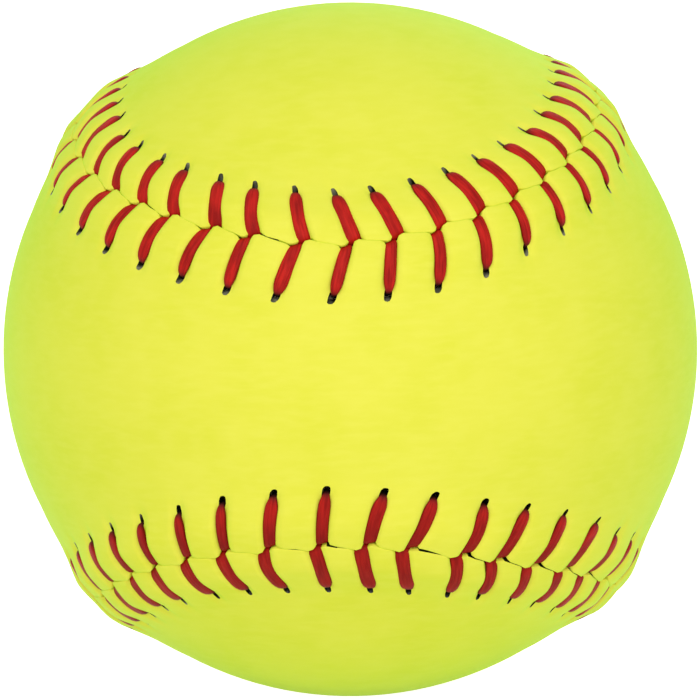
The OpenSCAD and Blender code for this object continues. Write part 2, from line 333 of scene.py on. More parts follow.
    # How far the whole seam wanders towards the front panel
    WANDER: ClassVar[Knots] = (
        (0, 3, 6, 8.4, 10.4, 12.4, 13.4, 15, 16.5, 18.5, 24, 34, 47.7, 50, 52.5, 54, 56, 58, 60, 61.5, 63, 72,
         80),
        (0, -.1, .3, .68, .5, -.25, -.5, -.45, -.1, .15, -.2, .2, -.4, .25, .3, 0, -.1, -.58, -.4, .1, .42, -.2,
         .2))
    # Half the gap between the edges
    GAP: ClassVar[Knots] = (
        (0, 11.6, 12, 12.6, 13.1, 46, 54, 54.4, 55.1, 55.4, 56.6, 56.8, 58.6, 59.2, 62, 63, 76),
        (0, 0, .06, .06, 0, 0, 0, .07, .07, .01, .01, .13, .13, .07, .06, .01, .01))
    # How far the painted grey highlight at the far end of the holes is held back, along the seam
    HOLE_GLINT_DIM: ClassVar[Knots] = (
        (0, 6, 9, 14, 18, 22, 46, 50.9, 51.7, 60, 62, 70),
        (-.9, -.8, .1, 0, -.5, 0, -.6, -.5, 1, 1, .3, .1))
    # How far the pull of the thread has left the holes open, as a share of their width
    OPEN: ClassVar[Knots] = (
        (2, 5, 6.5, 8, 15, 18, 22, 46, 51, 53, 58, 60, 62, 70),
        (.5, .5, .7, 1, 1, .8, .9, .5, .6, 1, 1, .6, .5, .9))

    def __post_init__(self) -> None:
        """Smooths the crown, and draws each stitch's lean, bow, shift and girth, the same on every run."""
        n = self.chart.stitches
        every = np.arange(n)
        rng = np.random.default_rng(self.seed)
        pace, blur = 0.05, 0.45
        fine = np.arange(-2.0, 18.0, pace)
        kernel = np.exp(-(np.arange(-24, 25) * pace / blur) ** 2)
        raw = np.interp(np.abs(fine), self.CROWN_U, self.CROWN_H)
        self.crown = np.stack([fine, np.convolve(raw, kernel / kernel.sum(), "same")])
        self.lean, self.bow, self.shift, self.girth = {}, {}, {}, {}
        for side in Side:
            self.lean[side] = self.along(self.LEAN[side], every) + rng.normal(0, self.CHANCE["lean"], n)
            self.bow[side] = self.along(self.BOW[side], every) + rng.normal(0, self.CHANCE["bow"], n)
            self.shift[side] = self.along(self.REACH[side], every) + rng.normal(0, self.CHANCE["shift"], n)
            width = self.along(self.GIRTH[side], every)
            self.girth[side] = width * (1 + rng.normal(0, self.CHANCE["girth"], n))
        mean, spread, widest = self.PARTING
        self.parting = np.clip(rng.normal(mean, spread, 2 * n), 0, widest)

    def along(self, knots: Knots, s: np.ndarray) -> np.ndarray:
        """Looks up a quantity that is given by knots round the closed seam."""
        return np.interp(s, knots[0], knots[1], period=self.chart.stitches)

    def place(self, side: Side, s: np.ndarray, x: np.ndarray, h: np.ndarray) -> np.ndarray:
        """Turns places on the sewn seam to points, as SeamChart.place does for the ideal one.

        Args:
            side: The panel.
            s: Distances along the seam, in stitches.
            x: Distances from the sewn seam line in mm, positive on the panel.
            h: Heights over the smooth leather in mm.

        Returns:
            Points in metres, on the last axis.
        """
        wander = self.along(self.WANDER, s) * (1 - smooth_step(x, self.wander_u, self.smooth_u))
        return self.chart.place(s, side.value * x + wander, h)

    def arm_s(self, side: Side, k: np.ndarray, x: np.ndarray) -> np.ndarray:
        """Middle line of a stitch over the leather.

        Args:
            side: The panel that it lies on.
            k: Whole numbers of the stitches, from any turn of the seam.
            x: Distances from the seam line in mm.

        Returns:
            Its distance along the seam, in stitches.
        """
        i = np.mod(k, self.chart.stitches)
        start = side.value * self.arm_offset
        share = np.clip(x / self.hole_x, 0, self.arm_end)
        bend = self.bow[side][i] * np.sin(math.pi * np.clip(share, 0, 1)) / self.chart.pitch
        return k + 0.5 + self.along(self.DRIFT, k + 0.5) + start + (self.lean[side][i] - start) * share - bend

    @property
    def cut(self) -> float:
        """Slope of the seam line in a kink, along which the ends of the stitches are cut off."""
        return self.step / (self.step_reach * self.chart.pitch)

    def phase(self, s: np.ndarray) -> np.ndarray:
        """Distance along the seam from the middle of the nearest kink, in stitches."""
        return np.mod(s - self.along(self.DRIFT, s), 1.0) - 0.5

    def line(self, s: np.ndarray) -> np.ndarray:
        """Finds how far the threads pull the seam line from its run.

        Args:
            s: Distances along the seam, in stitches.

        Returns:
            Distances towards the front side in mm. The line steps across at each kink, and runs nearly
            straight from one to the next.
        """
        near, far, rest = self.step_reach, self.step_reach + self.step_tail, self.step_rest
        return self.step * np.interp(self.phase(s), (-0.5, -far, -near, near, far, 0.5),
                                     (0, -rest, -1, 1, rest, 0))

    def edge(self, side: Side, s: np.ndarray, w: np.ndarray) -> np.ndarray:
        """Distance of a panel's edge from the seam line in mm.

        Args:
            side: The panel.
            s: Distances along the seam, in stitches.
            w: Distances along the seam from the nearest stitch of that panel, in mm.

        Returns:
            Half the gap, plus the notch under a stitch and the parting beside some of them.
        """
        phase, n = self.phase(s), self.chart.stitches
        k = np.mod(np.floor(s).astype(int), n)
        after = np.exp(-((phase - self.parting_at) / self.parting_w) ** 2)
        before = np.exp(-((phase + self.parting_at) / self.parting_w) ** 2)
        beside = self.parting[k] * after + self.parting[k + n] * before
        # A beat of two waves that never falls in step with the stitches
        beat = np.sin(s * 7.3 + np.sin(s * 0.71) * 2)
        gap = self.along(self.GAP, s) * (1 - self.pinch + self.pinch * beat)
        return gap + 0.5 * beside + self.notch * np.exp(-(w / (self.notch_w * self.HALF_W[side])) ** 8)

    def height(self, side: Side, x: np.ndarray, w: np.ndarray, from_edge: np.ndarray) -> np.ndarray:
        """Height of the leather's outer face. The leather hugs each stitch, and bulges softly between them.

        Args:
            side: The panel.
            x: Distances from the seam line in mm.
            w: Distances along the seam from the nearest stitch, in mm.
            from_edge: Distances from the panel's edge, in mm.

        Returns:
            Heights over the smooth leather in mm.
        """
        crown = np.interp(x, *self.crown) * (1 - smooth_step(x, self.fade_u, self.smooth_u))
        wide = np.exp(-(w / self.hollow_w) ** 2) * smooth_step(x, -0.5, 2.5)
        close = np.exp(-(w / self.HALF_W[side]) ** 6)
        dent = self.hollow * wide + (1 - self.hollow) * close
        press = self.bed * np.interp(x, self.PRESS_U, self.PRESS_K) * dent
        return crown * (1 - press) - np.interp(from_edge, self.LIP_X, self.LIP_H)


@dataclass(frozen=True)
class Finish:
    """What a surface is made of. Each kind builds its own shader."""

    name: str

    def material(self) -> bpy.types.Material:
        """Makes the material, or gives the one that is already made."""
        made = bpy.data.materials.get(self.name)
        if made is not None:
            return made
        made = bpy.data.materials.new(self.name)
        made.use_nodes = True
        tree = made.node_tree
        tree.nodes.clear()
        shader = add_node(tree, "BsdfPrincipled")
        add_node(tree, "OutputMaterial", {"Surface": shader.outputs[0]})
        self.dress(tree, shader)
        made.diffuse_color = tuple(shader.inputs["Base Color"].default_value)
        return made

    def dress(self, tree: Tree, shader: Node) -> None:
        """Sets the colour, gloss and relief."""
        raise NotImplementedError


@dataclass(frozen=True)
class CoatedLeather(Finish):
    """Top-grain leather, dyed through and sprayed with an optic yellow coat.

    To the eye: a clean, bright yellow with soft cloudy patches and faint streaks of the spray, a fine close
    grain, and a low satin sheen that turns greener where the surface slopes away, because the pigment of the
    coat glows green.
    """

    name: str = "optic_yellow_coated_leather"
    yellow: str = "#F2EB51"
    cloud: str = "#EDE847"
    streak: str = "#F6EF5B"
    glow: str = "#7CE410"
    cloud_mm: float = 9.0
    streak_mm: float = 0.8
    grain_mm: float = 0.55
    pore_mm: float = 0.22
    pore_depth: float = 0.5

    def dress(self, tree: Tree, shader: Node) -> None:
        """Sets the colour, gloss and relief."""
        place = add_node(tree, "TexCoord").outputs["Object"]
        patch = ramp(tree, noise(tree, place, self.cloud_mm, 3.0), (0.38, 0.66))
        colour = mix_colours(tree, patch, self.yellow, self.cloud)
        drawn = add_node(tree, "Mapping", {"Vector": place, "Scale": (0.25, 0.25, 1)}).outputs[0]
        streaks = ramp(tree, noise(tree, drawn, self.streak_mm, 3.0), (0.4, 0.7), (0, 0.55))
        colour = mix_colours(tree, streaks, colour, self.streak)
        grain = add_node(tree, "TexVoronoi", {"Vector": place, "Scale": 1 / (self.grain_mm * MM)},
                         feature="SMOOTH_F1")
        pores = noise(tree, place, self.pore_mm)
        relief = maths(tree, "MULTIPLY_ADD", grain.outputs["Distance"], self.pore_depth, pores)
        feed(tree, shader, {
            "Base Color": colour,
            "Roughness": ramp(tree, pores, (0.3, 0.7), (0.46, 0.56)),
            "Normal": bump(tree, relief, 0.16, 0.05),
            "IOR": 1.45,
            "Specular IOR Level": 0.14,
            "Sheen Weight": 0.8,
            "Sheen Roughness": 0.65,
            "Sheen Tint": hex_to_linear(self.glow),
        })


@dataclass(frozen=True)
class WaxAndShadeWall(Finish):
    """The wall of a punched stitch hole, blackened and glazed by the waxed thread and darkened further as
    painted shade of the hole, and the wall of an open stretch of the seam, painted blackish as the shade in the
    gap.

    To the eye: a blackish glossy hollow, with a painted grey highlight at the far end of a hole.
    """

    name: str = "waxed_and_painted_shade_wall"
    # Blackish wall colour: wax stain on hole walls, and painted shade in the holes and in the open gap
    wax_and_shade_dark: str = "#17180F"
    # Painted grey highlight at the far end of a hole
    painted_grey_highlight: str = "#96957C"
    patch_mm: float = 2.2
    crumb_mm: float = 0.3
    patchiness: float = 2.2
    glint_dimming: float = 0.7

    def dress(self, tree: Tree, shader: Node) -> None:
        """Sets the colour, gloss and relief."""
        seat = add_node(tree, "Attribute", attribute_name="hole_place")
        _, reach, glint_dim = add_node(tree, "SeparateXYZ", {"Vector": seat.outputs["Vector"]}).outputs
        place = add_node(tree, "TexCoord").outputs["Object"]
        patch = noise(tree, place, self.patch_mm)
        # Painted grey highlight towards the far end of a hole, in patches, held back at some stretches of the
        # seam
        far = maths(tree, "MULTIPLY_ADD", patch, self.patchiness, reach)
        glint_share = maths(tree, "MULTIPLY_ADD", glint_dim, -self.glint_dimming, far)
        crumbs = noise(tree, place, self.crumb_mm)
        feed(tree, shader, {
            "Base Color": mix_colours(tree, ramp(tree, glint_share, (1.65, 2.3)), self.wax_and_shade_dark, self.painted_grey_highlight),
            "Normal": bump(tree, crumbs, 0.4, 0.08),
            "Roughness": 0.3,
            "Coat Weight": 0.4,
            "Coat Roughness": 0.15,
        })


@dataclass(frozen=True)
class WaxedThread(Finish):
    """Spun cotton thread, dyed red, drawn flat and waxed.

    To the eye: a deep clear red with fine lengthwise fibres, painted darker as shade along both edges and over
    some stretches of the seam, tiny glints on its waxed fibres, and a blackish mark where it comes out of its
    hole, partly staining from the waxed thread and partly painted shade of the hole.
    """

    name: str = "red_waxed_cotton_thread"
    red: str = "#CA1E14"
    shade: str = "#960D08"
    painted_shade_red: str = "#7C0705"
    # Colour near the hole: wax staining and painted shade of the hole
    stain_and_shade: str = "#120B08"
    turn_mm: float = 4.6
    fibre_mm: float = 0.16
    fibre_run_mm: float = 3.5
    shade_depth: float = 0.6
    # Sharpness of the painted shade along both edges of the thread
    edge_shade_falloff: float = 10.0

    def dress(self, tree: Tree, shader: Node) -> None:
        """Sets the colour, gloss and relief."""
        lay = add_node(tree, "UVMap", uv_map="lay").outputs[0]
        fine = add_node(tree, "Mapping", {"Vector": lay,
                                          "Scale": (1 / self.fibre_run_mm, 1 / self.fibre_mm, 1)})
        fibres = add_node(tree, "TexNoise", {"Vector": fine.outputs[0], "Scale": 1.0, "Detail": 3.0,
                                             "Roughness": 0.6}).outputs["Fac"]
        mass = add_node(tree, "Mapping", {"Vector": lay, "Scale": (0.25, 1.1, 1)})
        bundle = add_node(tree, "TexNoise", {"Vector": mass.outputs[0], "Scale": 1.0,
                                             "Detail": 2.0}).outputs["Fac"]
        patch = ramp(tree, maths(tree, "ADD", fibres, bundle), (0.8, 1.2))
        colour = mix_colours(tree, patch, self.shade, self.red)
        # Both edges of the flat thread, which lie at the ends and the middle of a turn, are painted darker
        # as the shade where it meets the leather
        _, round_it, _ = add_node(tree, "SeparateXYZ", {"Vector": lay}).outputs
        turn = maths(tree, "MULTIPLY", round_it, 2 * math.pi / self.turn_mm)
        edge = maths(tree, "POWER", maths(tree, "COSINE", turn), self.edge_shade_falloff)
        # Painted shade over some stretches of the seam, added to the painted shade along both edges
        shade_share = add_node(tree, "Attribute", attribute_name="painted_shade").outputs["Fac"]
        depth = maths(tree, "MULTIPLY_ADD", shade_share, self.shade_depth, edge, clamp=True)
        colour = mix_colours(tree, depth, colour, self.painted_shade_red)
        # Near the hole: wax staining and painted shade of the hole
        stain_and_shade = add_node(tree, "Attribute", attribute_name="hole_stain_and_shade").outputs["Fac"]
        feed(tree, shader, {
            "Base Color": mix_colours(tree, stain_and_shade, colour, self.stain_and_shade),
            "Roughness": ramp(tree, fibres, (0.35, 0.7), (0.65, 0.42)),
            "Normal": bump(tree, fibres, 0.8, 0.08),
            "Specular IOR Level": 0.14,
        })


@dataclass(frozen=True)
class DriedCement(Finish):
    """Latex cement, brushed over the core and left to dry tacky.

    To the eye: a thin, uneven tan film with brush strokes and a dull gloss.
    """

    name: str = "dried_latex_cement"
    thick: str = "#C9B688"
    thin: str = "#E2D6B4"
    stroke_mm: float = 15.0

    def dress(self, tree: Tree, shader: Node) -> None:
        """Sets the colour, gloss and relief."""
        place = add_node(tree, "TexCoord").outputs["Object"]
        drawn = add_node(tree, "Mapping", {"Vector": place, "Scale": (1, 1, 6)}).outputs[0]
        strokes = noise(tree, drawn, self.stroke_mm, 5.0)
        feed(tree, shader, {
            "Base Color": mix_colours(tree, strokes, self.thick, self.thin),
            "Normal": bump(tree, strokes, 0.5, 0.1),
            "Roughness": 0.42,
        })


@dataclass(frozen=True)
class MouldedFoam(Finish):
    """Polyurethane, foamed in a ball mould, with a closed skin.

    To the eye: an even cream with a matt skin and the pinholes of burst bubbles, painted darker as the shade in
    their hollows.
    """

    name: str = "moulded_polyurethane_foam"
    cream: str = "#F1EBDD"
    pinhole_shade: str = "#CFC5AC"
    bubble_mm: float = 1.2

    def dress(self, tree: Tree, shader: Node) -> None:
        """Sets the colour, gloss and relief."""
        place = add_node(tree, "TexCoord").outputs["Object"]
        cells = add_node(tree, "TexVoronoi", {"Vector": place, "Scale": 1 / (self.bubble_mm * MM)})
        skin = ramp(tree, cells.outputs["Distance"], (0.08, 0.2))
        feed(tree, shader, {
            # Painted shade in the pinholes, following their depth
            "Base Color": mix_colours(tree, skin, self.pinhole_shade, self.cream),
            "Normal": bump(tree, skin, 0.4, 0.1),
            "Roughness": 0.6,
        })


@dataclass(frozen=True)
class StudioPaper(Finish):
    """Matt white background paper. To the eye: plain, burnt out and shadowless, as lit from behind."""

    name: str = "white_studio_paper"
    white: str = "#E8E8E6"
    lift: float = 0.95
    glow: float = 0.15

    def dress(self, tree: Tree, shader: Node) -> None:
        """Sets the colour, gloss and relief."""
        feed(tree, shader, {
            "Base Color": hex_to_linear(self.white),
            "Roughness": 0.9,
            "Specular IOR Level": 0.1,
            "Emission Color": (1, 1, 1, 1),
            "Emission Strength": ramp(tree, seen_directly(tree), target=(self.glow, self.lift)),
        })


def finish_mesh(bm: bmesh.types.BMesh, name: str, finishes: list[Finish]) -> Object:
    """Turns a finished bmesh to a smooth-shaded object at the origin.

    Args:
        bm: The mesh, which is freed.
        name: The piece's name.
        finishes: Its finishes, by material index.

    Returns:
        The new object, linked to the scene.
    """
    mesh = bpy.data.meshes.new(name)
    for face in bm.faces:
        face.smooth = True
    bm.to_mesh(mesh)
    bm.free()
    piece = bpy.data.objects.new(name, mesh)
    bpy.context.scene.collection.objects.link(piece)
    for finish in finishes:
        mesh.materials.append(finish.material())
    return piece


def grid_indices(verts: list[bmesh.types.BMVert], columns: int, rows: int) -> tuple[np.ndarray, np.ndarray]:
    """Column and row numbers of the vertices of a fresh create_grid of size 0.5."""
    co = np.array([v.co[:2] for v in verts]) + 0.5
    return np.rint(co[:, 0] * columns).astype(int), np.rint(co[:, 1] * rows).astype(int)


@dataclass
class CoverPanel:
    """One figure-eight leather panel: a raised, scalloped and pierced rim along the seam, and the smooth rest.

    Lengths are in mm.
    """

    seam: RaisedSeam
    side: Side
    name: str
    replaces: str
    rung_cuts: int = 24  # Cells in a rung across the smooth leather
    leather_t: float = 1.5
    rim_back_h: float = -0.7  # Height of the back face along the seam
    gap_shade_from: float = 0.05  # Gap from which the edge of the leather is painted blackish as the shade in it
    gap_shade_phase: float = 0.27  # From a kink to where that painted shade begins, in stitches
    slot_power: float = 2.7  # Roundness of the ends of a hole
    drag: float = 0.8  # How far the thread has dragged the far end of a hole in at the back
    shift_w: float = 2.0  # Half the width of the leather that moves with a hole
    shift_end: float = 11.0  # Where it moves no more
    even_u: float = 9.3  # Where the columns begin to even out over the leather
    weld: float = 0.004  # Distance below which the rim and the rungs are joined

    # Distances of the rows of the rim from the edge
    ROW_X: ClassVar = (
        0, 0.05, 0.15, 0.33, 0.63, 1.05, 1.55, 2.1, 2.7, 3.3, 3.9, 4.5, 5.05, 5.6, 6.1, 6.35, 6.6, 6.85, 7.1,
        7.3, 7.5, 7.7, 7.86, 8.0, 8.25, 8.6, 9.1, 9.8, 10.7, 11.8, 13.0, 14.5)
    # Size of a hole's edge, with room for rounding
    HOLE_SIZE: ClassVar = 1.001
    # Size round a hole at which the leather keeps its place, and the run up to there
    PULL_END: ClassVar = 1.9
    PULL_RUN: ClassVar = 0.9
    # Where the pull of the kinks, the notches and the slope of the back face begin and end to run out
    LINE_FADE: ClassVar = (0.5, 4.0)
    EDGE_FADE: ClassVar = (0.2, 3.0)
    BACK_FADE: ClassVar = (9.0, 14.0)
    # Seam coordinates and place in a hole of the smooth leather, which is far from both
    SMOOTH_PLACE: ClassVar = (0, 20, 0)
    SMOOTH_HOLE: ClassVar = (9, 9, 9)

    @property
    def column_w(self) -> np.ndarray:
        """Distances of the columns from a stitch: two in its hole, the hole's edge, both sides of its bed, and
        the pillow of leather beside it."""
        hole, bed = self.seam.hole_half_w, self.seam.HALF_W[self.side]
        return np.array([0, 0.5 * hole, hole, 0.88 * bed, 1.17 * bed, 1.65])

    def rim_points(self, column: np.ndarray, row: np.ndarray) -> tuple[np.ndarray, np.ndarray]:
        """Places the vertices of the rim.

        Args:
            column: Column numbers, which count along the seam.
            row: Row numbers, from the edge to the smooth leather.

        Returns:
            Their seam coordinates (s, x, h), and their places in a stitch hole, where the hole's edge is at a
            size of 1.
        """
        seam, pitch, per = self.seam, self.seam.chart.pitch, 2 * len(self.column_w)
        near = self.column_w / pitch
        share = np.concatenate([near, [0.5], 1 - near[:0:-1]])
        x = np.array(self.ROW_X)[row]
        k, share = column // per, share[column % per]
        low, high = seam.arm_s(self.side, k, x), seam.arm_s(self.side, k + 1, x)
        s = low + share * (high - low)
        beside = np.where(share <= 0.5, share, share - 1)
        w = beside * (high - low) * pitch

        # The columns even out beyond the holes, to meet the rungs of the smooth leather 5/6 of a stitch on
        even = smooth_step(x, self.even_u, seam.smooth_u)
        s = (1 - even) * s + even * (column + per * 5 // 6) / per

        n = seam.chart.stitches
        shift = seam.shift[self.side]
        moved = (1 - share) * shift[k % n] + share * shift[(k + 1) % n]
        x_in = x + moved * np.exp(-((x - seam.hole_x) / self.shift_w) ** 2) * (x < self.shift_end)

        # The block of cells round a hole is drawn in to a slot with round ends
        a, b = seam.hole_half_w, seam.hole_half_l
        size = np.stack([beside * pitch / a, (x - seam.hole_x) / b], axis=-1)
        square = np.abs(size).max(axis=-1)
        slot = (np.abs(size) ** self.slot_power).sum(axis=-1) ** (1 / self.slot_power)
        slot = np.maximum(slot, 1e-9)
        near_hole = np.clip((self.PULL_END - square) / self.PULL_RUN, 0, 1)
        pull = 1 + (square / slot - 1) * near_hole
        x_in = x_in + (pull - 1) * size[:, 1] * b

        # And the thread has drawn some of the slots narrow
        pull = pull * (1 - (1 - seam.along(seam.OPEN, s)) * near_hole)
        s = s + (pull - 1) * w / pitch
        w = w * pull

        line = self.side.value * seam.line(s) * (1 - smooth_step(x, *self.LINE_FADE))
        x_in = x_in + line + seam.edge(self.side, s, w) * (1 - smooth_step(x, *self.EDGE_FADE))
        h = seam.height(self.side, x_in, w, x)
        hole = np.stack([size[:, 0] * pull, size[:, 1] * np.minimum(square / slot, 1), square], axis=-1)
        return np.stack([s, x_in, h], axis=-1), hole

    def build(self) -> Object:
        """Builds the panel.

        Returns:
            The panel's object, dressed.
        """
        chart, per = self.seam.chart, 2 * len(self.column_w)
        columns, rows = chart.stitches * per, len(self.ROW_X) - 1
        bm = bmesh.new()
        hole_layer = bm.verts.layers.float_vector.new("hole_place")
        seam_layer = bm.verts.layers.float_vector.new("seam_place")

        verts = bmesh.ops.create_grid(bm, x_segments=columns, y_segments=rows, size=0.5)["verts"]
        coords, hole = self.rim_points(*grid_indices(verts, columns, rows))
        points = self.seam.place(self.side, *coords.T)
        for v, p, c, q in zip(verts, points, coords, hole):
            v.co, v[seam_layer], v[hole_layer] = p, c, q
        pierced = [f for f in bm.faces if all(v[hole_layer].z < self.HOLE_SIZE for v in f.verts)]
        bmesh.ops.delete(bm, geom=pierced, context="FACES")

        # Rungs of the smooth leather: arcs between two places the same way from the tip of a lobe, which lies
        # at an eighth of the seam. At the tip itself a rung has no length.
        rungs = columns // 2
        verts = bmesh.ops.create_grid(bm, x_segments=rungs, y_segments=self.rung_cuts, size=0.5)["verts"]
        rung, cut = grid_indices(verts, rungs, self.rung_cuts)
        tip = -self.side.value * chart.stitches / 8
        s = tip + rung / per
        u = np.full(len(verts), self.side.value * self.seam.smooth_u)
        a, b = chart.place(s, u, 0 * u), chart.place(2 * tip - s, u, 0 * u)
        unit = np.sum(a * b, axis=1) / (chart.cover_r * MM) ** 2
        least = 1e-6
        angle = np.maximum(np.arccos(np.clip(unit, -1, 1)), least)[:, None]
        t = (cut / self.rung_cuts)[:, None]
        arc = (np.sin((1 - t) * angle) * a + np.sin(t * angle) * b) / np.sin(angle)
        for v, p in zip(verts, np.where(angle > 2 * least, arc, a)):
            v.co, v[seam_layer], v[hole_layer] = p, self.SMOOTH_PLACE, self.SMOOTH_HOLE
        bmesh.ops.remove_doubles(bm, verts=bm.verts[:], dist=self.weld * MM)
        bmesh.ops.recalc_face_normals(bm, faces=bm.faces[:])
        self.thicken(bm)
        piece = finish_mesh(bm, self.name, [CoatedLeather(), WaxAndShadeWall()])
        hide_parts(self.replaces)
        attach(piece, BODY)
        return piece

    def thicken(self, bm: bmesh.types.BMesh) -> None:
        """Gives the sheet its back face, and walls round its edge and its holes.

        Args:
            bm: The outer face, with its seam coordinates in a layer.
        """
        hole_layer = bm.verts.layers.float_vector["hole_place"]
        seam_layer = bm.verts.layers.float_vector["seam_place"]
        new = bmesh.ops.extrude_face_region(bm, geom=bm.faces[:], use_keep_orig=True)["geom"]
        bm.verts.index_update()
        back = [v for v in new if isinstance(v, bmesh.types.BMVert)]
        coords = np.array([v[seam_layer][:] for v in back])
        hole = np.array([v[hole_layer][:] for v in back])
        outer = np.array([v.co[:] for v in back])
        radius = np.linalg.norm(outer, axis=1, keepdims=True)
        fall = smooth_step(coords[:, 1], *self.BACK_FADE)
        depth = self.rim_back_h + (-self.leather_t - self.rim_back_h) * fall
        points = outer / radius * ((self.seam.chart.cover_r + depth) * MM)[:, None]

        # The far end of a hole slopes in, where the thread has dragged it
        rim = (hole[:, 2] < self.HOLE_SIZE) & (hole[:, 1] > 0)
        s, x = coords[rim, 0], coords[rim, 1]
        points[rim] = self.seam.place(self.side, s, x - self.drag * hole[rim, 1], depth[rim])
        for v, p in zip(back, points):
            v.co = p

        # Walls of the holes are dark with wax and with painted shade, and walls of the edge where the seam
        # stands open are painted dark as the shade in the gap. Extrusion made the walls in no fixed order, so
        # they are given one.
        behind = set(back)
        order = {}
        for i, face in enumerate(bm.faces):
            order[face] = i
            if not 0 < sum(v in behind for v in face.verts) < len(face.verts):
                continue
            low, high = sorted(v.index for v in face.verts)[:2]
            order[face] = len(bm.faces) + low * len(bm.verts) + high
            s = face.verts[0][seam_layer].x
            shaded_gap = (self.seam.along(self.seam.GAP, s) > self.gap_shade_from
                       and abs(self.seam.phase(s)) > self.gap_shade_phase)
            # Hole walls take the wax and painted shade finish, and open gap walls take it as painted shade
            if shaded_gap or all(v[hole_layer].z < self.HOLE_SIZE for v in face.verts):
                face.material_index = 1
        bm.faces.sort(key=order.get)
        for edge in bm.edges:
            if len({f.material_index for f in edge.link_faces}) > 1:
                edge.smooth = False

        # The size has served, and the shader takes in its place how far the painted grey highlight of each hole
        # is held back
        for v in bm.verts:
            v[hole_layer].z = float(self.seam.along(self.seam.HOLE_GLINT_DIM, v[seam_layer].x))
        bmesh.ops.recalc_face_normals(bm, faces=bm.faces[:])


